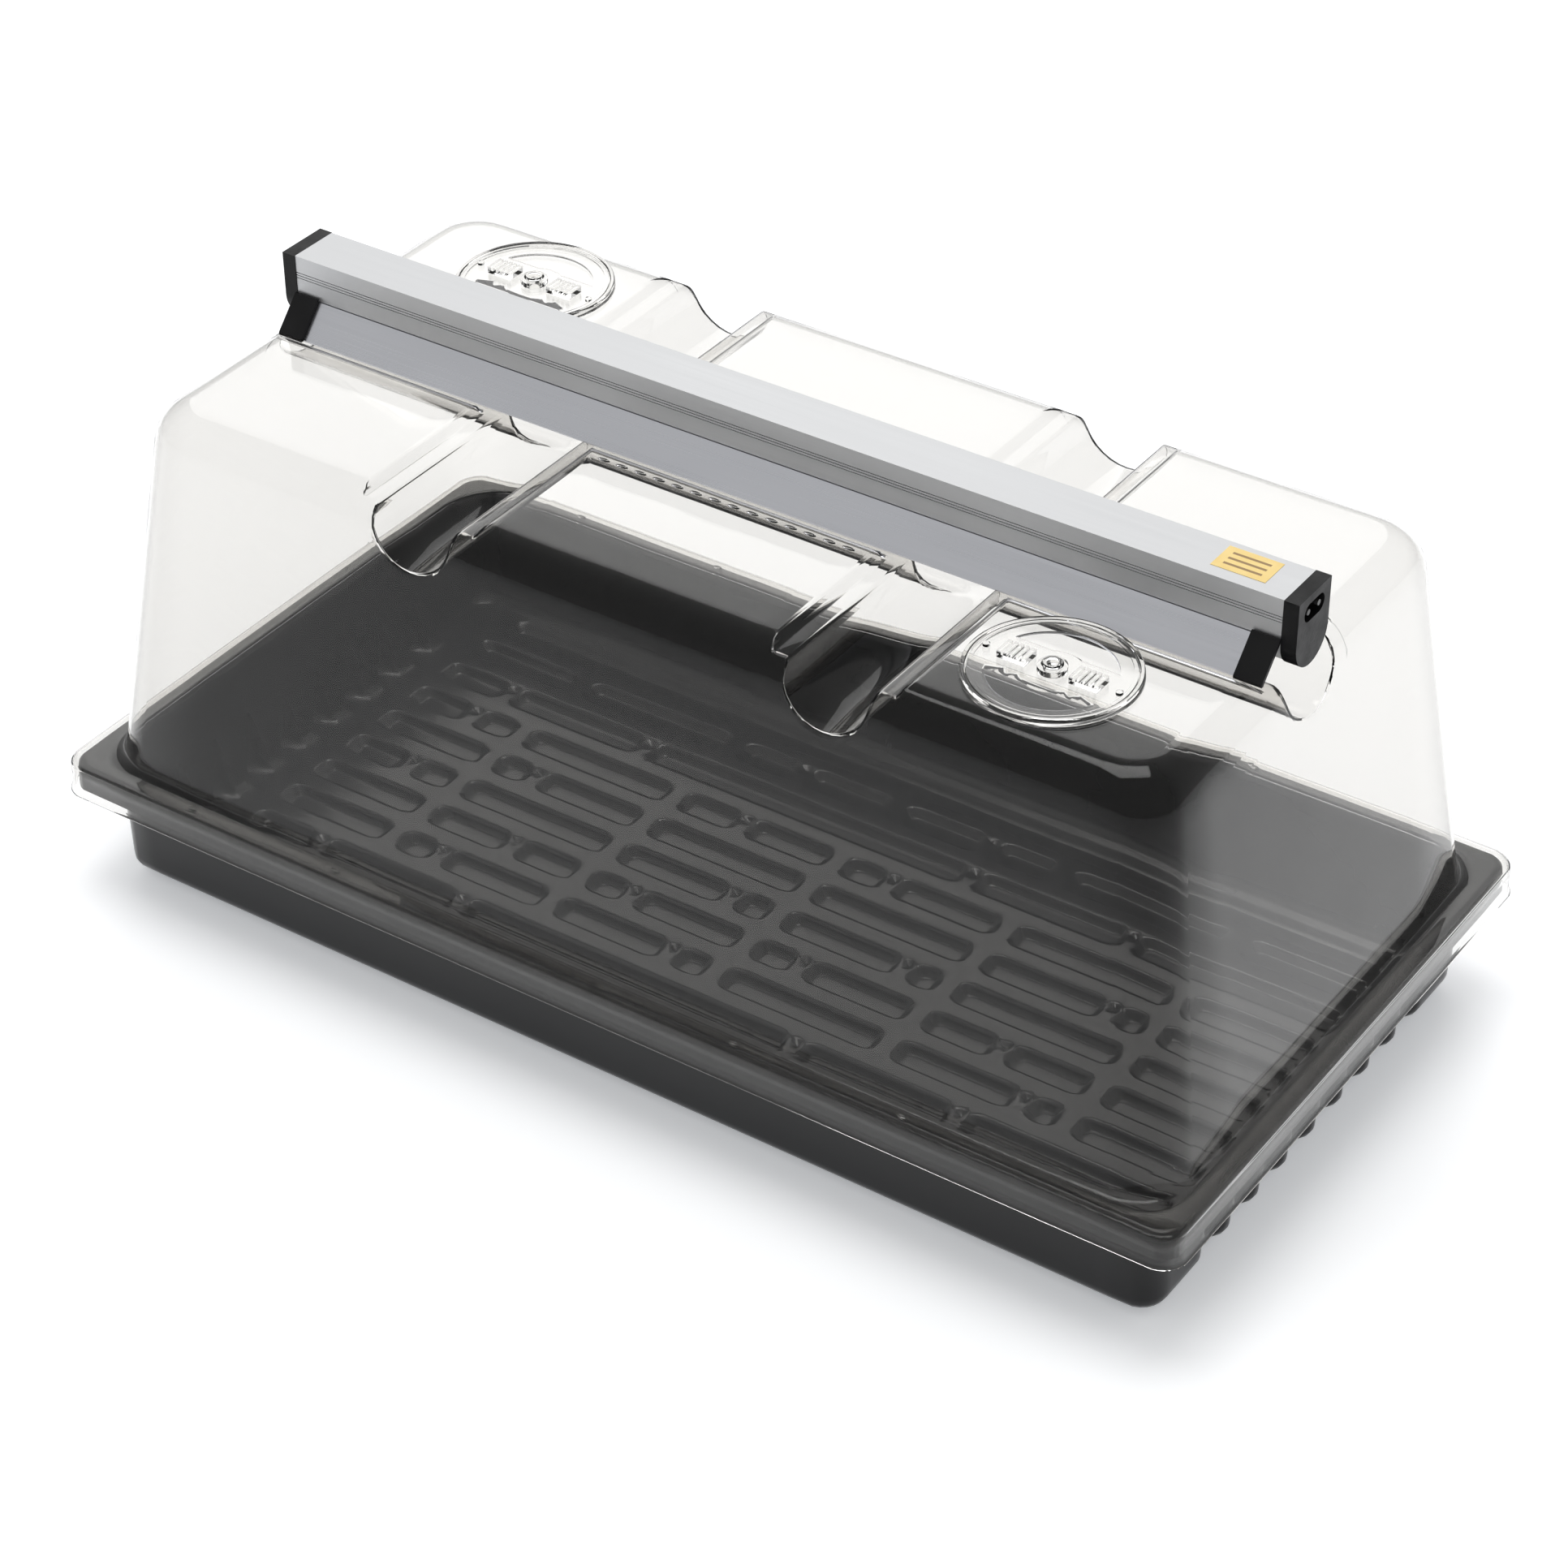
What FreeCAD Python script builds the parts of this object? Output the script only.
import FreeCAD, Part
import Sketcher
import os
import re
from FreeCAD import Placement, Rotation, Vector

# Propagation tray with a clear humidity dome and a slim lamp that rests on the dome.
# +X runs along the tray towards the end with the power inlet, +Y to the back, +Z up.
# The origin is on the ground under the middle of the tray. Sizes are millimetres.

doc = FreeCAD.newDocument("humidity_dome_tray")
sheet = doc.addObject("Spreadsheet::Sheet", "sizes")

SIZES = {
    # fits shared by every piece
    "rest_gap": 0.3,            # air between pieces that only rest on each other
    "slip": 0.2,                # air round a plug-in or screwed-on piece
    # tray, vacuum-formed
    "sheet_wall": 1.0,
    "rim_length": 540.0,
    "rim_width": 279.0,
    "rim_height": 60.7,         # ground to the top of the rim
    "rim_lip": 12.2,
    "rim_corner": 11.0,
    "rim_ledge": 7.5,           # flat of the rim round the mouth
    "end_draft": 12.5,          # how far each end wall leans in by the ground
    "side_draft": 5.0,
    "tray_corner": 22.0,
    "foot": 4.0,                # ground to the underside of the floor
    "cell_width": 14.0,
    "aisle": 9.0,
    "cell_cut": 26.0,           # how much shorter the end cells of a row are
    "end_strip": 18.0,          # plain floor past each end of the cells
    "side_strip": 23.5,         # floor kept for the long trough beside the rows
    "cell_draft": 2.0,
    "dam_width": 8.0,
    "trough_width": 14.0,
    "flute_radius": 7.4,
    "flute_height": 40.0,
    # dome, clear film
    "film": 1.0,
    "skirt_gap": 3.0,           # air between the rim and the skirt round it
    "skirt_depth": 14.0,
    "skirt_corner": 12.0,
    "flange_end": 12.5,         # skirt's outside to the foot of an end wall
    "flange_side": 12.0,
    "dome_draft": 23.0,         # how far each wall leans in by the crown
    "dome_rise": 168.0,         # flange to the crown
    "dome_corner": 26.0,
    "crown_radius": 17.0,
    "channel_end": 141.5,       # crown's end edge to the middle of a cross channel
    "ledge_drop": 3.5,
    "ledge_bearing": 5.0,       # how far the lamp's wings reach in over a ledge
    "trough_straight": 2.5,     # upright part of the trough's side, over its round bottom
    # rotary vents
    "vent_end_gap": 7.2,        # cross channel to the vent's seat
    "vent_side_gap": 1.2,       # lengthwise channel to the vent's seat
    "seat_radius": 34.3,
    "seat_rim": 2.4,
    "seat_height": 2.6,
    "dial_thickness": 1.1,
    "port_margin": 6.9,         # seat's rim to the round edge of the opening
    "port_chord": 11.0,
    "port_bridge": 12.5,
    "hub_radius": 5.8,
    "hub_height": 2.2,
    "post_radius": 3.3,
    "post_head": 4.3,
    "head_height": 1.0,
    "pad_offset": 15.4,
    "pad_length": 12.0,
    "pad_width": 8.7,
    "pad_height": 3.0,
    "pad_slot": 1.0,            # width of the finger slots in a grip pad
    "stud_inset": 3.2,
    "stud_radius": 1.4,
    "stud_height": 1.2,
    "dial_rim_width": 1.6,
    "dial_rim_height": 0.6,
    # lamp unit
    "light_length": 477.4,
    "cap_thickness": 6.5,
    "cap_lap": 0.3,             # end cap standing proud of the housing
    "plug_length": 3.0,         # end cap's tongue in the ballast chamber
    "housing_width": 24.0,
    "housing_height": 18.0,
    "housing_wall": 1.2,
    "wing_rise": 13.2,          # lower edge of the wings to the housing's skirt
    "wing_spread": 24.0,        # middle of the lamp unit to a wing's edge
    "wing_clearance": 2.0,      # clip to the side of the channel
    "wing_sheet": 0.5,
    "chamber_height": 8.0,
    "lamp_gap": 0.6,            # lamp to the reflector's roof
    "lamp_radius": 8.0,
    "lamp_glass": 0.8,
    "lamp_base": 9.0,
    "pin_radius": 1.15,
    "pin_spacing": 4.75,
    "pin_length": 6.5,
    "holder_thickness": 9.0,
    "holder_width": 18.0,
    "leaf_thickness": 0.4,
    "leaf_clearance": 0.3,
    "groove_depth": 0.4,
    "groove_width": 0.4,
    "groove_pitch": 1.2,
    "groove_rise": 7.8,         # housing's skirt to the lowest groove
    "clip_length": 12.0,
    "clip_inset": 12.2,
    "clip_thickness": 1.5,
    "clip_play": 0.1,
    "inlet_drop": 7.4,          # housing's top to the middle of the power inlet
    "inlet_length": 15.4,
    "inlet_width": 7.8,
    "inlet_depth": 5.0,
    "inlet_pin": 1.2,
    "inlet_pitch": 8.0,
    "label_length": 23.0,
    "label_width": 15.0,
    "label_film": 0.15,
    "label_inset": 29.2,
    "label_y": 1.5,
    "board_length": 190.0,
    "board_width": 17.0,
    "board_thickness": 1.2,
    "screw_inset": 6.0,
    "screw_y": 5.0,
    "screw_shank": 1.25,
    "screw_head": 2.4,
    "screw_head_height": 1.3,
    "choke_length": 15.0,
    "choke_width": 13.0,
    "filter_length": 11.0,
    "filter_width": 10.0,
    "can_length": 14.0,
    "can_step": 17.0,
    "chip_length": 5.0,
    "chip_width": 3.0,
    "chip_offset": 4.0,
    "film_cap_length": 10.0,
    "film_cap_width": 5.0,
    "fuse_radius": 1.6,
    "fuse_length": 9.0,
    "wire_radius": 0.8,
    "wire_offset": 3.0,
}

for line, (alias, number) in enumerate(SIZES.items(), start=1):
    sheet.set("A%d" % line, alias.replace("_", " "))
    sheet.set("B%d" % line, str(number))
    sheet.setAlias("B%d" % line, alias)
doc.recompute()

# Sizes that follow from the driving ones, as expressions of the sheet's cells.
MOUTH = ("(rim_length - 2 * rim_ledge)", "(rim_width - 2 * rim_ledge)")
BASE = ("(%s - 2 * end_draft)" % MOUTH[0], "(%s - 2 * side_draft)" % MOUTH[1])
GRID_LENGTH = "(%s - 2 * end_strip)" % BASE[0]
CELL_STEP = "((%s + 2 * cell_cut) / 6)" % GRID_LENGTH
ROW_PITCH = "((%s - 2 * side_strip) / 9)" % BASE[1]
DOME = ("(rim_length + 2 * skirt_gap + 2 * film)", "(rim_width + 2 * skirt_gap + 2 * film)")
DOME_BASE = ("(%s - 2 * flange_end)" % DOME[0], "(%s - 2 * flange_side)" % DOME[1])
DOME_TOP = ("(%s - 2 * dome_draft)" % DOME_BASE[0], "(%s - 2 * dome_draft)" % DOME_BASE[1])
CHANNEL_X = "(%s / 2 - channel_end)" % DOME_TOP[0]
CHANNEL_HALF = "(wing_spread + clip_thickness + wing_clearance)"
TROUGH_RADIUS = "(wing_spread - ledge_bearing)"
VENT_X = "(%s + %s + vent_end_gap + seat_radius)" % (CHANNEL_X, CHANNEL_HALF)
VENT_Y = "(%s + vent_side_gap + seat_radius)" % CHANNEL_HALF
DIAL_RADIUS = "(seat_radius - seat_rim - rest_gap)"
PORT_RADIUS = "(seat_radius - seat_rim - port_margin)"

# Places that several pieces share, as expressions of the sheet's cells.
FLOOR = "(foot + sheet_wall)"
FLANGE = "(rim_height + rest_gap + film)"
CROWN = "(rim_height + rest_gap + film + dome_rise)"
LEDGE = "(%s - ledge_drop)" % CROWN
SEAT = "(%s + rest_gap)" % LEDGE
HOUSING_SKIRT = "(%s + wing_rise)" % SEAT
HOUSING_TOP = "(%s + wing_rise + housing_height)" % SEAT
CHAMBER_TOP = "(%s - housing_wall)" % HOUSING_TOP
CHAMBER_FLOOR = "(%s - chamber_height)" % CHAMBER_TOP
LAMP_AXIS = "(%s - housing_wall - slip - wing_sheet - lamp_gap - lamp_radius)" % CHAMBER_FLOOR
HOUSING_HALF = "(light_length / 2 - cap_thickness)"
HOLDER_FACE = "(light_length / 2 - cap_thickness - slip - holder_thickness)"

WORD = re.compile(r"[a-z][a-z_]*")


def expand(text):
    """Give every cell's alias its sheet's name, so that FreeCAD can read the expression."""
    return WORD.sub(lambda m: "sizes." + m.group(0) if m.group(0) in SIZES else m.group(0), str(text))


def val(text):
    """The number that an expression of the sheet's cells stands for, now."""
    return float(sheet.evalExpression(expand(text)))


def bind(thing, links):
    """Tie each property of a document object to an expression of the sheet's cells."""
    for prop, text in links.items():
        thing.setExpression(prop, expand(text))
    return thing


def place(thing, x="0", y="0", z="0"):
    return bind(thing, {"Placement.Base.x": x, "Placement.Base.y": y, "Placement.Base.z": z})


def box(name, size, centre, low_z):
    """A box centred on centre = (x, y), standing on low_z."""
    thing = bind(doc.addObject("Part::Box", name), {"Length": size[0], "Width": size[1], "Height": size[2]})
    return place(thing, "%s - (%s) / 2" % (centre[0], size[0]), "%s - (%s) / 2" % (centre[1], size[1]), low_z)


def cylinder(name, radius, height, centre, low_z):
    thing = bind(doc.addObject("Part::Cylinder", name), {"Radius": radius, "Height": height})
    return place(thing, centre[0], centre[1], low_z)


def rod_x(name, radius, length, low_x, y, z):
    """A cylinder lying along X."""
    thing = bind(doc.addObject("Part::Cylinder", name), {"Radius": radius, "Height": length})
    thing.Placement = Placement(Vector(), Rotation(Vector(0, 1, 0), 90))
    return place(thing, low_x, y, z)


def rod_y(name, radius, length, x, low_y, z):
    """A cylinder lying along Y."""
    thing = bind(doc.addObject("Part::Cylinder", name), {"Radius": radius, "Height": length})
    thing.Placement = Placement(Vector(), Rotation(Vector(1, 0, 0), -90))
    return place(thing, x, low_y, z)


def hopper(name, low_half, high_half, low_z, high_z, centre=("0", "0")):
    """A drafted block: a rectangle of half sizes low_half at low_z, high_half at high_z."""
    thing = doc.addObject("Part::Wedge", name)
    bind(thing, {"Xmin": "-(%s)" % low_half[0], "Xmax": low_half[0],
                 "Zmin": "-(%s)" % low_half[1], "Zmax": low_half[1],
                 "X2min": "-(%s)" % high_half[0], "X2max": high_half[0],
                 "Z2min": "-(%s)" % high_half[1], "Z2max": high_half[1],
                 "Ymin": low_z, "Ymax": high_z})
    thing.Placement = Placement(Vector(), Rotation(Vector(1, 0, 0), 90))
    return place(thing, centre[0], centre[1], "0")


def cut(name, base, tool):
    thing = doc.addObject("Part::Cut", name)
    thing.Base = base
    thing.Tool = tool
    return thing


def common(name, base, tool):
    thing = doc.addObject("Part::Common", name)
    thing.Base = base
    thing.Tool = tool
    return thing


def fuse(name, parts):
    thing = doc.addObject("Part::MultiFuse", name)
    thing.Shapes = parts
    return thing


def group(name, parts):
    """Separate solids that make one node."""
    thing = doc.addObject("Part::Compound", name)
    thing.Links = parts
    return thing


def fillet(name, base, radius, chosen):
    """Round the edges of base that chosen(edge) picks, by a radius from the sheet."""
    doc.recompute()
    thing = doc.addObject("Part::Fillet", name)
    thing.Base = base
    size = val(radius)
    thing.Edges = [(i, size, size) for i, edge in enumerate(base.Shape.Edges, start=1) if chosen(edge)]
    doc.recompute()
    return thing


def rising(edge):
    """An edge that climbs from one level to another."""
    ends = [v.Point.z for v in edge.Vertexes]
    return len(ends) == 2 and abs(ends[0] - ends[1]) > 1.0


def body(name):
    return doc.addObject("PartDesign::Body", name)


def origin_plane(owner, role):
    return next(f for f in owner.Origin.OriginFeatures if f.Role == role)


def outline(owner, name, loops):
    """A sketch across the lamp unit (its u is Y and its v is Z) of closed loops of corners.

    Each corner is a pair of expressions, and each is held by two dimensions bound to them.
    """
    sketch = owner.newObject("Sketcher::SketchObject", name)
    sketch.AttachmentSupport = [(origin_plane(owner, "YZ_Plane"), "")]
    sketch.MapMode = "FlatFace"
    for corners in loops:
        numbers = [(val(u), val(v)) for u, v in corners]
        first = sketch.GeometryCount
        for i, start in enumerate(numbers):
            end = numbers[(i + 1) % len(numbers)]
            sketch.addGeometry(Part.LineSegment(Vector(start[0], start[1], 0), Vector(end[0], end[1], 0)))
        for i in range(len(corners)):
            after = first + (i + 1) % len(corners)
            sketch.addConstraint(Sketcher.Constraint("Coincident", first + i, 2, after, 1))
        for i, (u, v) in enumerate(corners):
            for kind, number, text in (("DistanceX", numbers[i][0], u), ("DistanceY", numbers[i][1], v)):
                at = sketch.addConstraint(Sketcher.Constraint(kind, -1, 1, first + i, 1, number))
                sketch.setExpression("Constraints[%d]" % at, expand(text))
    return sketch


def bar(name, loops, length, low_x="0", midplane=True):
    """A straight extrusion along X of the outline, as a PartDesign body."""
    owner = body(name)
    sketch = outline(owner, name + "_outline", loops)
    pad = owner.newObject("PartDesign::Pad", name + "_pad")
    pad.Profile = sketch
    bind(pad, {"Length": length})
    pad.Midplane = midplane
    sketch.Visibility = False
    return place(owner, low_x)


def mirrored(loop):
    """The loop on the other side of the XZ plane."""
    return [("-(%s)" % u, v) for u, v in reversed(loop)]


nodes = []


def node(thing, name):
    thing.Label = name
    nodes.append(thing)
    return thing


# ---------------------------------------------------------------- tray

COLUMNS = range(-3, 3)
ROWS = range(-4, 5)
LONG_ROWS = (-3, 3)
# Dams that cross a cell, as the share of the cell's length from its -X end.
DAMS = {
    (-3, 2): 0.70, (-1, 2): 0.42, (0, 2): 0.30,
    (-2, 1): 0.27, (1, 1): 0.78,
    (-3, 0): 0.70, (-1, 0): 0.75, (0, 0): 0.78,
    (-2, -1): 0.56, (-1, -1): 0.28, (0, -1): 0.30, (1, -1): 0.47,
    (-2, -2): 0.27, (-1, -2): 0.75, (1, -2): 0.78,
    (-1, 4): 0.42, (0, 4): 0.58, (-1, -4): 0.42, (0, -4): 0.58,
}
# Dams of the two long rows, in cell steps from the middle.
LONG_DAMS = (-2.28, -1.38, 0.63, 1.55)


def cell_spans():
    """Each recess of the floor as (x from, x to, y), as expressions."""
    spans = []
    for row in ROWS:
        y = "%d * %s" % (row, ROW_PITCH)
        if row in LONG_ROWS:
            stops = ["%s * %s" % (share, CELL_STEP) for share in LONG_DAMS]
            starts = ["-%s / 2" % GRID_LENGTH] + ["%s + dam_width / 2" % stop for stop in stops]
            ends = ["%s - dam_width / 2" % stop for stop in stops] + ["%s / 2" % GRID_LENGTH]
            spans += [(a, b, y) for a, b in zip(starts, ends)]
            continue
        for column in COLUMNS:
            start = "%d * %s + aisle / 2" % (column, CELL_STEP)
            end = "%s + %s - aisle" % (start, CELL_STEP)
            if column == COLUMNS[0]:
                start = "-%s / 2" % GRID_LENGTH
            if column == COLUMNS[-1]:
                end = "%s / 2" % GRID_LENGTH
            dam = DAMS.get((column, row))
            if dam is None:
                spans.append((start, end, y))
                continue
            stop = "%d * %s + aisle / 2 + %s * (%s - aisle)" % (column, CELL_STEP, dam, CELL_STEP)
            spans.append((start, "%s - dam_width / 2" % stop, y))
            spans.append(("%s + dam_width / 2" % stop, end, y))
    return spans


def trough(name, half_x, half_y, centre, wall):
    """One recess pressed into the floor; wall grows it into the bump underneath."""
    low_z = "sheet_wall - %s" % wall
    high_z = "%s - %s + 0.5" % (FLOOR, wall)
    low = ("%s - cell_draft + %s" % (half_x, wall), "%s - cell_draft + %s" % (half_y, wall))
    high = ("%s + %s" % (half_x, wall), "%s + %s" % (half_y, wall))
    return hopper(name, low, high, low_z, high_z, centre)


def floor_recesses(prefix, wall):
    parts = []
    for i, (start, end, y) in enumerate(cell_spans()):
        parts.append(trough("%s_cell_%d" % (prefix, i), "((%s) - (%s)) / 2" % (end, start), "cell_width / 2",
                            ("((%s) + (%s)) / 2" % (start, end), y), wall))
    for side, sign in (("front", "-"), ("back", "")):
        y = "%s(%s / 2 - 2 * sheet_wall - cell_draft - trough_width / 2)" % (sign, BASE[1])
        parts.append(trough("%s_trough_%s" % (prefix, side), "%s / 2" % GRID_LENGTH, "trough_width / 2",
                            ("0", y), wall))
    return group(prefix + "_recesses", parts)


def flutes(prefix, wall):
    parts = []
    for row in ROWS:
        for side, sign in (("left", "-"), ("right", "")):
            parts.append(cylinder("%s_flute_%s_%d" % (prefix, side, row + 5), "flute_radius - %s" % wall,
                                  "flute_height",
                                  ("%s%s / 2" % (sign, BASE[0]), "%d * %s" % (row, ROW_PITCH)),
                                  "foot + %s" % wall))
    return group(prefix + "_flutes", parts)


def tray_hull(name, wall, low_z, high_z, corner):
    """The drafted, round-cornered block of the tray, wall inside its outer face."""
    thing = hopper(name, ["%s / 2 - %s" % (size, wall) for size in BASE],
                   ["%s / 2 - %s" % (size, wall) for size in MOUTH], low_z, high_z)
    return fillet(name + "_round", thing, corner, rising)


def rim_block(name, length, width, height, low_z, corner):
    return fillet(name + "_round", box(name, (length, width, height), ("0", "0"), low_z), corner, rising)


def make_tray():
    hull = tray_hull("tray_hull", "0", "foot", "rim_height", "tray_corner")
    hollow = tray_hull("tray_hollow", "sheet_wall", FLOOR, "rim_height + sheet_wall",
                       "tray_corner - sheet_wall")
    rim_out = rim_block("rim_out", "rim_length", "rim_width", "rim_lip", "rim_height - rim_lip", "rim_corner")
    rim_in = rim_block("rim_in", "rim_length - 2 * sheet_wall", "rim_width - 2 * sheet_wall",
                       "rim_lip", "rim_height - rim_lip - sheet_wall", "rim_corner - sheet_wall")
    rim = cut("rim", rim_out, rim_in)
    outside = fuse("tray_outside", [hull, rim, flutes("outer", "0"), floor_recesses("bump", "sheet_wall")])
    inside = fuse("tray_inside", [hollow, flutes("inner", "sheet_wall"), floor_recesses("hollow", "0")])
    node(cut("tray_shell", outside, inside), "tray")


# ---------------------------------------------------------------- dome

def crown_fillet(edge):
    """The four edges round the crown."""
    return all(v.Point.z > val(FLANGE) + val("dome_rise") / 2 for v in edge.Vertexes)


def dome_hull(name, wall, drop):
    """The drafted block of the dome, wall inside its outer face, its foot drop under the flange."""
    lean = "dome_draft / dome_rise"
    low = ["%s / 2 - %s + %s * %s" % (size, wall, lean, drop) for size in DOME_BASE]
    high = ["%s / 2 - %s + %s * %s" % (size, wall, lean, wall) for size in DOME_TOP]
    block = hopper(name, low, high, "%s - %s" % (FLANGE, drop), "%s - %s" % (CROWN, wall))
    corners = fillet(name + "_corners", block, "dome_corner - " + wall, rising)
    return fillet(name + "_crown", corners, "crown_radius - " + wall, crown_fillet)


def channel(name, along_x, centre, wall):
    """A stepped U channel through the crown: a ledge each side and a round trough between."""
    reach = DOME[0] if along_x else DOME[1]
    ledge = "%s - %s" % (LEDGE, wall)
    radius = "(%s + %s)" % (TROUGH_RADIUS, wall)
    deep = "%s - trough_straight" % LEDGE
    wide = "2 * (%s + %s)" % (CHANNEL_HALF, wall)
    narrow = "2 * " + radius

    def size(width, height):
        return (reach, width, height) if along_x else (width, reach, height)
    top = box(name + "_top", size(wide, "dome_rise / 4"), centre, ledge)
    middle = box(name + "_middle", size(narrow, "trough_straight"), centre, deep)
    if along_x:
        bottom = rod_x(name + "_bottom", radius, reach, "-(%s) / 2" % reach, centre[1], deep)
    else:
        bottom = rod_y(name + "_bottom", radius, reach, centre[0], "-(%s) / 2" % reach, deep)
    return [top, middle, bottom]


def channels(prefix, wall):
    parts = channel(prefix + "_long", True, ("0", "0"), wall)
    parts += channel(prefix + "_left", False, ("-" + CHANNEL_X, "0"), wall)
    parts += channel(prefix + "_right", False, (CHANNEL_X, "0"), wall)
    return fuse(prefix + "_channels", parts)


# Each vent's middle, and the side of the hub where the seat's opening is.
VENTS = {"front": (VENT_X, "-" + VENT_Y, "-1"), "rear": ("-" + VENT_X, VENT_Y, "-1")}


def port(name, centre, low_z, height, side):
    """The half-moon opening of a vent: a disc beyond its chord, less a round bridge at the hub."""
    disc = cylinder(name + "_disc", PORT_RADIUS, height, centre, low_z)
    half = box(name + "_half", ("3 * " + PORT_RADIUS, "2 * " + PORT_RADIUS, height),
               (centre[0], "%s + (%s) * (port_chord + %s)" % (centre[1], side, PORT_RADIUS)), low_z)
    bridge = cylinder(name + "_bridge", "port_bridge", height, centre, low_z)
    return cut(name, common(name + "_moon", disc, half), bridge)


def vent_seat(name, centre):
    """The raised ring that a dial turns in, and the hollow snap post at its middle."""
    ring = cut(name + "_ring",
               cylinder(name + "_ring_out", "seat_radius", "film + seat_height", centre, CROWN + " - film"),
               cylinder(name + "_ring_in", "seat_radius - seat_rim", "film + seat_height", centre, CROWN))
    stem = "dial_thickness + hub_height + 2 * rest_gap"
    post = cylinder(name + "_post", "post_radius", "film + " + stem, centre, CROWN + " - film")
    head = cylinder(name + "_head", "post_head", "head_height", centre, "%s + %s" % (CROWN, stem))
    return [ring, post, head]


def make_dome():
    hull = dome_hull("dome_hull", "0", "film")
    hollow = dome_hull("dome_hollow", "film", "2 * film")
    depth = "skirt_depth + film"
    skirt_out = rim_block("skirt_out", DOME[0], DOME[1], depth, FLANGE + " - skirt_depth - film",
                          "skirt_corner")
    skirt_in = rim_block("skirt_in", DOME[0] + " - 2 * film", DOME[1] + " - 2 * film", depth,
                         FLANGE + " - skirt_depth - 2 * film", "skirt_corner - film")
    skirt = cut("skirt", skirt_out, skirt_in)
    walls = cut("dome_walls", hull, channels("outer", "0"))
    cavity = cut("dome_cavity", hollow, channels("inner", "film"))
    film = cut("dome_film", fuse("dome_outside", [walls, skirt]), cavity)
    seats = []
    ports = []
    for name, (x, y, side) in VENTS.items():
        seats += vent_seat("seat_" + name, (x, y))
        ports.append(port("port_" + name, (x, y), CROWN + " - 2 * film", "4 * film", side))
    with_seats = fuse("dome_with_seats", [film] + seats)
    node(cut("dome_shell", with_seats, group("ports", ports)), "dome")


def make_dial(name, centre, side):
    """A vent's dial, shut: its half-moon is on the other side of the hub from the seat's."""
    low_z = CROWN + " + rest_gap"
    disc = cylinder(name + "_disc", DIAL_RADIUS, "dial_thickness", centre, low_z)
    rim = cut(name + "_rim",
              cylinder(name + "_rim_out", DIAL_RADIUS, "dial_thickness + dial_rim_height", centre, low_z),
              cylinder(name + "_rim_in", DIAL_RADIUS + " - dial_rim_width",
                       "dial_thickness + dial_rim_height", centre, low_z))
    hub = cylinder(name + "_hub", "hub_radius", "dial_thickness + hub_height", centre, low_z)
    top = "%s + rest_gap + dial_thickness" % CROWN
    parts = [disc, rim, hub]
    for i, sign in enumerate(("-", "")):
        x = "%s + (%spad_offset)" % (centre[0], sign)
        pad = box("%s_pad_%d" % (name, i), ("pad_length", "pad_width", "pad_height"), (x, centre[1]), top)
        slots = group("%s_slots_%d" % (name, i), [
            box("%s_slot_%d_%d" % (name, i, j), ("pad_slot", "pad_width", "pad_height / 2"),
                ("%s + %d * pad_length / 10" % (x, tenths), centre[1]), top + " + pad_height / 2")
            for j, tenths in enumerate((-3, -1, 1, 3))])
        parts.append(cut("%s_grip_%d" % (name, i), pad, slots))
        parts.append(cylinder("%s_stud_%d" % (name, i), "stud_radius", "stud_height",
                              ("%s + (%s(%s - stud_inset))" % (centre[0], sign, DIAL_RADIUS), centre[1]),
                              top))
    opening = port(name + "_port", centre, low_z + " - film", "5 * film", "-(%s)" % side)
    bore = cylinder(name + "_bore", "post_radius + rest_gap / 2", "4 * hub_height", centre, low_z + " - film")
    node(cut(name + "_dial", fuse(name + "_blank", parts), group(name + "_holes", [opening, bore])),
         "vent_dial_" + name)


# ---------------------------------------------------------------- lamp unit

HALF_WIDTH = "housing_width / 2"
BAY_HALF = "(housing_width / 2 - housing_wall)"


def groove_corners():
    """The front face of the housing from the top down, with three fine grooves."""
    corners = []
    for i in range(3):
        z = "%s + groove_rise + %d * groove_pitch" % (HOUSING_SKIRT, 2 - i)
        top = z + " + groove_width"
        bed = HALF_WIDTH + " - groove_depth"
        corners += [(HALF_WIDTH, top), (bed, top), (bed, z), (HALF_WIDTH, z)]
    return corners


def screw_places():
    return [("%s(board_length / 2 - screw_inset)" % sign, "screw_y") for sign in ("-", "")]


def screw_holes(name, low_z, thickness):
    """A hole for each of the board's two screws, right through a plate on low_z."""
    return group(name + "s", [
        cylinder("%s_%d" % (name, i), "screw_shank + rest_gap / 2", thickness, at, low_z)
        for i, at in enumerate(screw_places())])


def make_housing():
    """The extruded case: a closed chamber for the ballast over an open bay for the lamp."""
    web = CHAMBER_FLOOR + " - housing_wall"
    side = [(HALF_WIDTH, HOUSING_TOP)] + groove_corners() + [
        (HALF_WIDTH, HOUSING_SKIRT), (BAY_HALF, HOUSING_SKIRT), (BAY_HALF, web)]
    section = side + mirrored(side)
    chamber = [(BAY_HALF, CHAMBER_TOP), (BAY_HALF, CHAMBER_FLOOR)]
    case = bar("housing_body", [section, chamber + mirrored(chamber)], "2 * " + HOUSING_HALF)
    node(cut("housing_case", case, screw_holes("web_hole", web, "housing_wall")), "light_housing")


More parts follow.
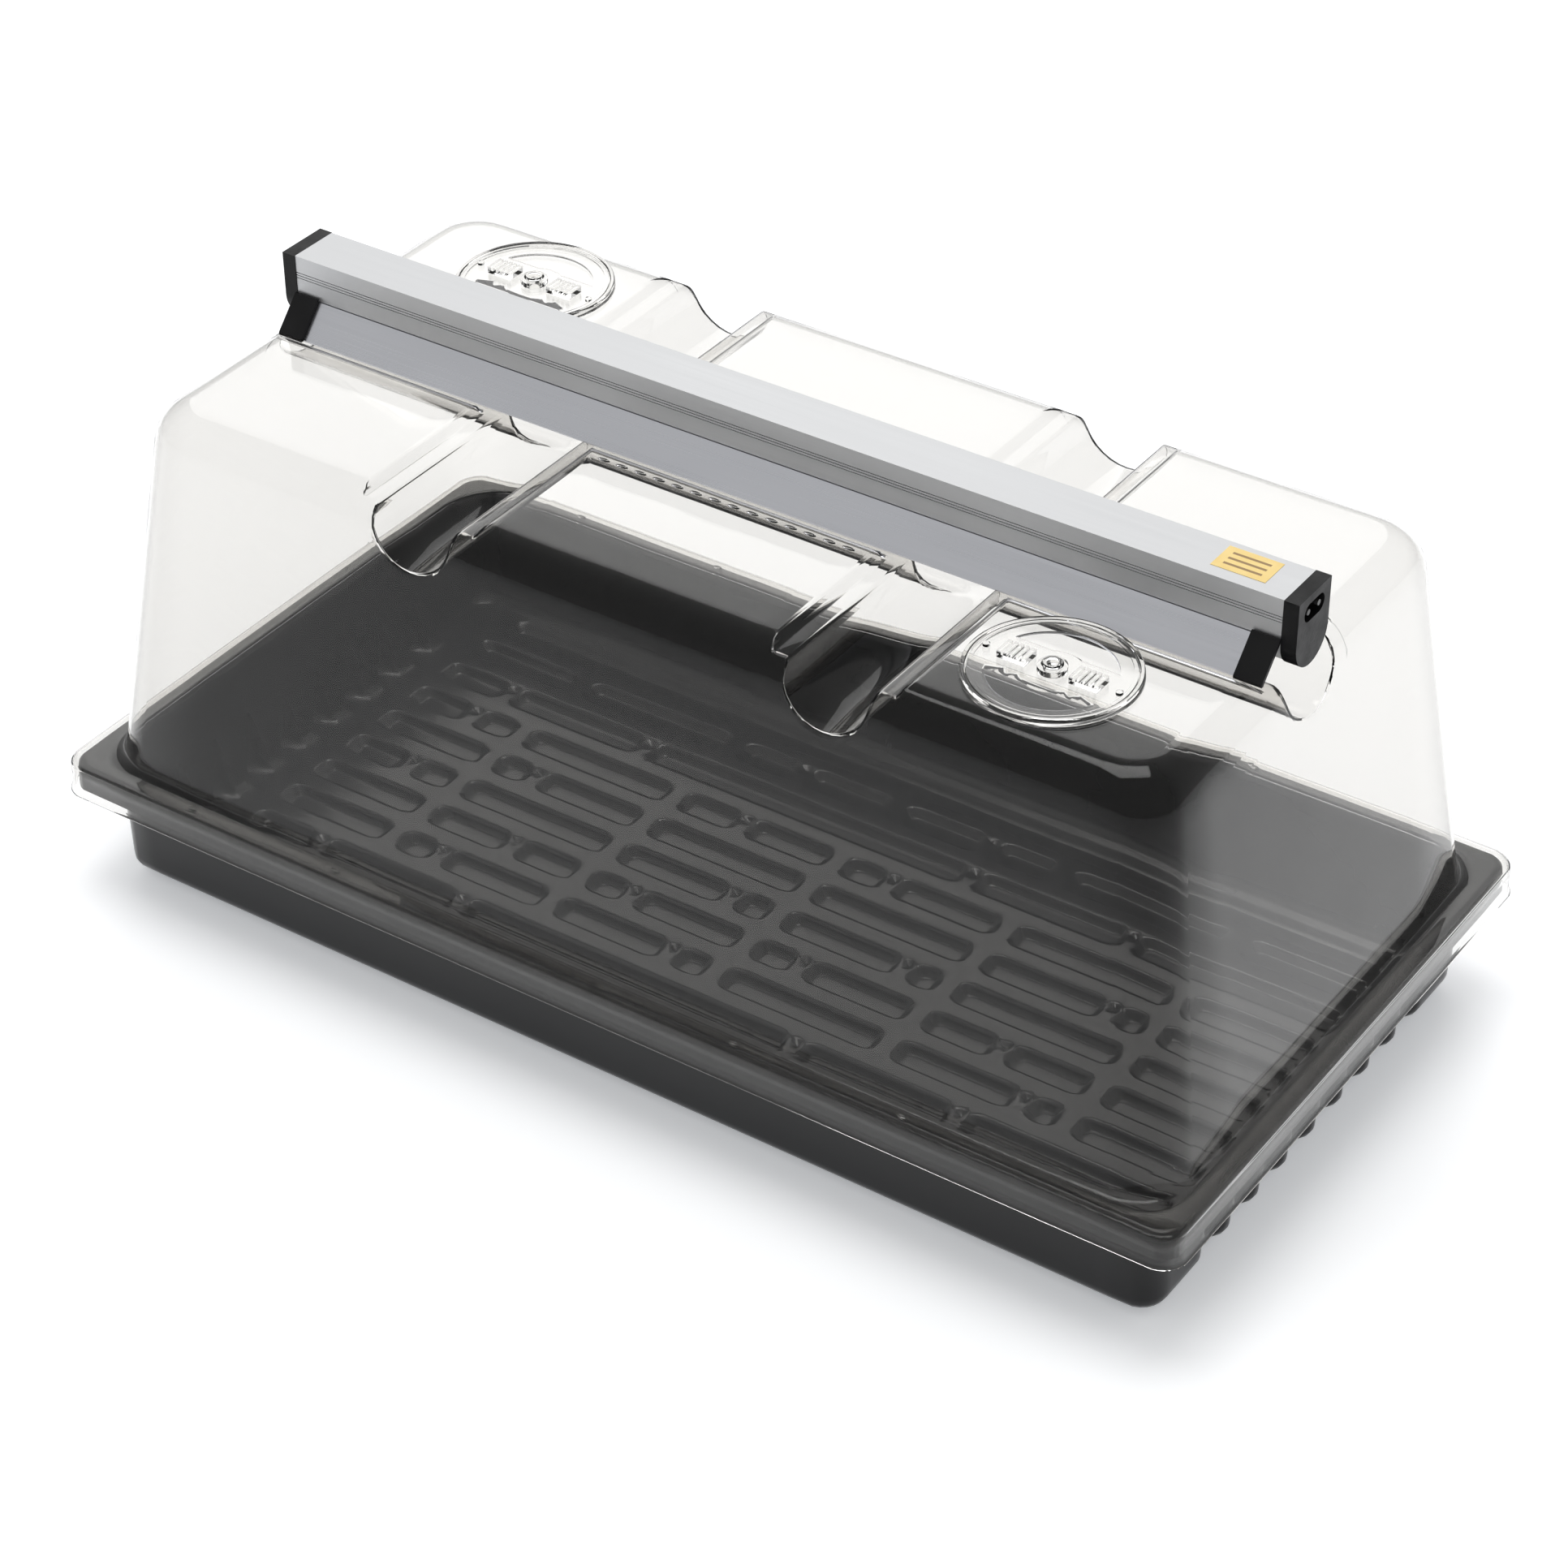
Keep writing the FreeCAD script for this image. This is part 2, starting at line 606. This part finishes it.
def make_reflector():
    """One bent sheet: it lines the lamp bay, wraps the skirts and flares into two wings."""
    roof = CHAMBER_FLOOR + " - housing_wall - slip"
    inner = BAY_HALF + " - slip"
    skirt = HOUSING_SKIRT + " - slip"
    outer = HALF_WIDTH + " + wing_sheet"
    tip = "wing_spread"
    lining = inner + " - wing_sheet"
    side = [(inner, roof), (inner, skirt), (outer, skirt), (tip, SEAT + " + wing_sheet"), (tip, SEAT),
            (tip + " - wing_sheet", SEAT), (HALF_WIDTH, skirt + " - wing_sheet"),
            (lining, skirt + " - wing_sheet"), (lining, roof + " - wing_sheet")]
    node(bar("reflector_body", [side + mirrored(side)], "2 * (%s) - 2 * slip" % HOUSING_HALF), "reflector")


def make_clips():
    """A moulded clip over each end of each wing; its toe hooks under the wing's edge."""
    skirt = HOUSING_SKIRT + " - slip"
    root = HALF_WIDTH + " + wing_sheet + clip_play"
    heel = skirt + " + clip_play"
    toe = SEAT + " + 2 * clip_play"
    side = [(root, heel), (root, heel + " + clip_thickness"),
            (root + " + clip_thickness / 2", heel + " + clip_thickness"),
            ("wing_spread + clip_thickness", SEAT + " + clip_thickness"),
            ("wing_spread + clip_thickness", toe),
            ("wing_spread + clip_play", toe), ("wing_spread + clip_play", SEAT + " + wing_sheet + clip_play")]
    x = "light_length / 2 - clip_inset"
    for end, sign in (("left", "-"), ("right", "")):
        for face, loop in (("rear", side), ("front", mirrored(side))):
            name = "reflector_clip_%s_%s" % (face, end)
            node(bar(name + "_body", [loop], "clip_length", "%s(%s)" % (sign, x)), name)


def cap_blank(name, sign):
    """The moulded end cap: square on top, round under the lamp, with a plug into the chamber."""
    inner_x = "%s(%s + cap_thickness / 2)" % (sign, HOUSING_HALF)
    plate_size = ("cap_thickness", "housing_width + 2 * cap_lap", "%s - %s" % (HOUSING_TOP, LAMP_AXIS))
    plate = box(name + "_plate", plate_size, (inner_x, "0"), LAMP_AXIS)
    low_x = HOUSING_HALF if sign == "" else "-(light_length / 2)"
    nose = rod_x(name + "_nose", "housing_width / 2 + cap_lap", "cap_thickness", low_x, "0", LAMP_AXIS)
    plug_x = "%s(%s - plug_length / 2)" % (sign, HOUSING_HALF)
    plug = box(name + "_plug", ("plug_length + 2 * slip", "housing_width - 2 * housing_wall - 2 * slip",
                                "chamber_height - 2 * slip"), (plug_x, "0"), CHAMBER_FLOOR + " + slip")
    return fuse(name + "_blank", [plate, nose, plug])


INLET = "(%s - inlet_drop)" % HOUSING_TOP


def socket_hole(name, sign, depth):
    """The figure-eight recess of a power inlet, open at the outer face."""
    low_x = "light_length / 2 - " + depth if sign == "" else "-(light_length / 2)"
    z = INLET
    shift = "(inlet_length - inlet_width) / 2"
    mid = box(name + "_mid", (depth, "inlet_length - inlet_width", "inlet_width"),
              ("%s(light_length / 2 - (%s) / 2)" % (sign, depth), "0"), z + " - inlet_width / 2")
    ends = [rod_x("%s_end_%d" % (name, i), "inlet_width / 2", depth, low_x, side + shift, z)
            for i, side in enumerate(("-", ""))]
    return fuse(name, [mid] + ends)


def make_end_caps():
    for end, sign in (("right", ""), ("left", "-")):
        name = "cap_" + end
        recess = socket_hole(name + "_socket", sign, "inlet_depth")
        node(cut(name, cap_blank(name, sign), recess), "end_cap_" + end)
        low_x = "light_length / 2 - inlet_depth" if end == "right" else "-(light_length / 2) + rest_gap"
        pins = [rod_x("%s_pin_%d" % (end, i), "inlet_pin", "inlet_depth - rest_gap", low_x,
                      "%sinlet_pitch / 2" % side, INLET)
                for i, side in enumerate(("-", ""))]
        node(group("%s_socket_pins" % end, pins), "inlet_pins" if end == "right" else "link_pins")


def make_lamp():
    """The tube: glass, a metal base at each end and two pins in each base."""
    base_face = "(%s - rest_gap)" % HOLDER_FACE
    glass_half = "(%s - lamp_base)" % base_face
    tube = cut("tube_shell",
               rod_x("tube_out", "lamp_radius - slip", "2 * " + glass_half, "-" + glass_half, "0", LAMP_AXIS),
               rod_x("tube_in", "lamp_radius - slip - lamp_glass", "2 * " + glass_half, "-" + glass_half, "0",
                     LAMP_AXIS))
    node(tube, "lamp_tube")
    pins = []
    for end, sign in (("right", ""), ("left", "-")):
        low_x = glass_half if sign == "" else "-" + base_face
        node(rod_x("base_" + end, "lamp_radius", "lamp_base", low_x, "0", LAMP_AXIS), "lamp_base_" + end)
        pin_x = base_face if sign == "" else "-(%s + pin_length)" % base_face
        for i, side in enumerate(("-", "")):
            pins.append(rod_x("lamp_pin_%s_%d" % (end, i), "pin_radius", "pin_length", pin_x,
                              "%spin_spacing / 2" % side, LAMP_AXIS))
    node(group("lamp_pin_set", pins), "lamp_pins")


def make_holders():
    """A lamp holder at each end: a round pocket for the turning pins, slotted to let them in."""
    contacts = []
    top = CHAMBER_FLOOR + " - housing_wall - 2 * slip - 2 * wing_sheet"
    sweep = "pin_spacing / 2 + pin_radius"
    for end, sign in (("right", ""), ("left", "-")):
        name = "holder_" + end
        mid_x = "%s(%s + holder_thickness / 2)" % (sign, HOLDER_FACE)
        low_z = LAMP_AXIS + " - lamp_radius"
        block = box(name + "_block", ("holder_thickness", "holder_width", "%s - (%s)" % (top, low_z)),
                    (mid_x, "0"), low_z)
        depth = "(pin_length + rest_gap)"
        cut_x = "%s(%s + %s / 2)" % (sign, HOLDER_FACE, depth)
        low_x = HOLDER_FACE if sign == "" else "-(%s + %s)" % (HOLDER_FACE, depth)
        reach = sweep + " + leaf_clearance + leaf_thickness + rest_gap"
        pocket = rod_x(name + "_pocket", reach, depth, low_x, "0", LAMP_AXIS)
        slot = box(name + "_slot", (depth, "2 * pin_radius + 2 * rest_gap", "lamp_radius"),
                   (cut_x, "0"), low_z)
        node(cut(name, block, group(name + "_cuts", [pocket, slot])), "lamp_holder_" + end)
        for i, side in enumerate(("-", "")):
            contacts.append(box("%s_leaf_%d" % (name, i), ("pin_length - 4 * rest_gap", "leaf_thickness",
                                                           "2 * pin_radius"),
                                ("%s(%s + pin_length / 2)" % (sign, HOLDER_FACE),
                                 "%s(%s + leaf_clearance + leaf_thickness / 2)" % (side, sweep)),
                                LAMP_AXIS + " - pin_radius"))
    node(group("holder_leaves", contacts), "holder_contacts")


BOARD = "(%s + slip)" % CHAMBER_FLOOR
BOARD_TOP = "(%s + board_thickness)" % BOARD
HEADROOM = "(chamber_height - board_thickness - 2 * slip)"


def on_board(name, size, x, y="0"):
    """A block soldered on the board; size is its length, its width and its drop under the headroom."""
    return box(name, (size[0], size[1], "%s - %s" % (HEADROOM, size[2])), (x, y), BOARD_TOP)


def make_ballast():
    """The electronic ballast on its board, in the chamber, and its two screws."""
    plate = box("board_plate", ("board_length", "board_width", "board_thickness"), ("0", "0"), BOARD)
    node(cut("board", plate, screw_holes("board_hole", BOARD, "board_thickness")), "ballast_board")
    node(on_board("choke", ("choke_length", "choke_width", "3 * slip"), "0.22 * board_length"),
         "ballast_choke")
    node(on_board("filter", ("filter_length", "filter_width", "5 * slip"), "-0.38 * board_length"),
         "ballast_line_filter")
    node(on_board("film_cap", ("film_cap_length", "film_cap_width", "5 * slip"), "0.38 * board_length",
                  "-chip_offset"), "ballast_film_capacitor")
    cans = [rod_x("can_%d" % i, HEADROOM + " / 2 - slip / 2", "can_length",
                  "-0.25 * board_length + %d * can_step" % i, "0", "%s + %s / 2" % (BOARD_TOP, HEADROOM))
            for i in range(2)]
    node(group("cans", cans), "ballast_capacitors")
    chips = [on_board("chip_%d" % i, ("chip_length", "chip_width", "7 * slip"), "0.05 * board_length",
                      side + "chip_offset") for i, side in enumerate(("-", ""))]
    node(group("chips", chips), "ballast_transistors")
    node(rod_x("fuse_body", "fuse_radius", "fuse_length", "-0.48 * board_length", "-screw_y",
               BOARD_TOP + " + fuse_radius"), "ballast_fuse")
    screws = []
    for i, at in enumerate(screw_places()):
        shank = cylinder("shank_%d" % i, "screw_shank", "board_thickness + slip + housing_wall", at,
                         CHAMBER_FLOOR + " - housing_wall")
        head = cylinder("screw_head_%d" % i, "screw_head", "screw_head_height", at, BOARD_TOP)
        screws.append(fuse("screw_%d" % i, [shank, head]))
    node(group("screws", screws), "board_screws")


def make_wires():
    """A pair of leads from each end of the board to the contacts in the end cap."""
    start = "(board_length / 2 + slip)"
    end = "(%s - plug_length - 2 * slip)" % HOUSING_HALF
    wires = [rod_x("wire_%d_%d" % (i, j), "wire_radius", "%s - %s" % (end, start),
                   start if along == "" else "-" + end, side + "wire_offset", BOARD_TOP)
             for i, along in enumerate(("-", "")) for j, side in enumerate(("-", ""))]
    node(group("wires", wires), "hookup_wires")


def make_label():
    size = ("label_length", "label_width", "label_film")
    node(box("label", size, ("light_length / 2 - label_inset", "label_y"), HOUSING_TOP), "rating_label")


make_tray()
make_dome()
for vent_name, (vent_at_x, vent_at_y, vent_side) in VENTS.items():
    make_dial(vent_name, (vent_at_x, vent_at_y), vent_side)
make_housing()
make_reflector()
make_clips()
make_end_caps()
make_lamp()
make_holders()
make_ballast()
make_wires()
make_label()
doc.recompute()

# ---------------------------------------------------------------- checks and files

faults = []
for thing in doc.Objects:
    if "Invalid" in thing.State or "Error" in thing.State:
        faults.append("%s: %s" % (thing.Label, thing.State))
for thing in nodes:
    if thing.Shape.isNull() or not thing.Shape.isValid() or not thing.Shape.Solids:
        faults.append("%s: its shape is not sound" % thing.Label)
if faults:
    raise RuntimeError("; ".join(faults))

os.makedirs("parts", exist_ok=True)
for thing in nodes:
    thing.Shape.exportStep(os.path.join("parts", thing.Label + ".step"))
    print("%-28s solids %d, volume %.0f" % (thing.Label, len(thing.Shape.Solids), thing.Shape.Volume))
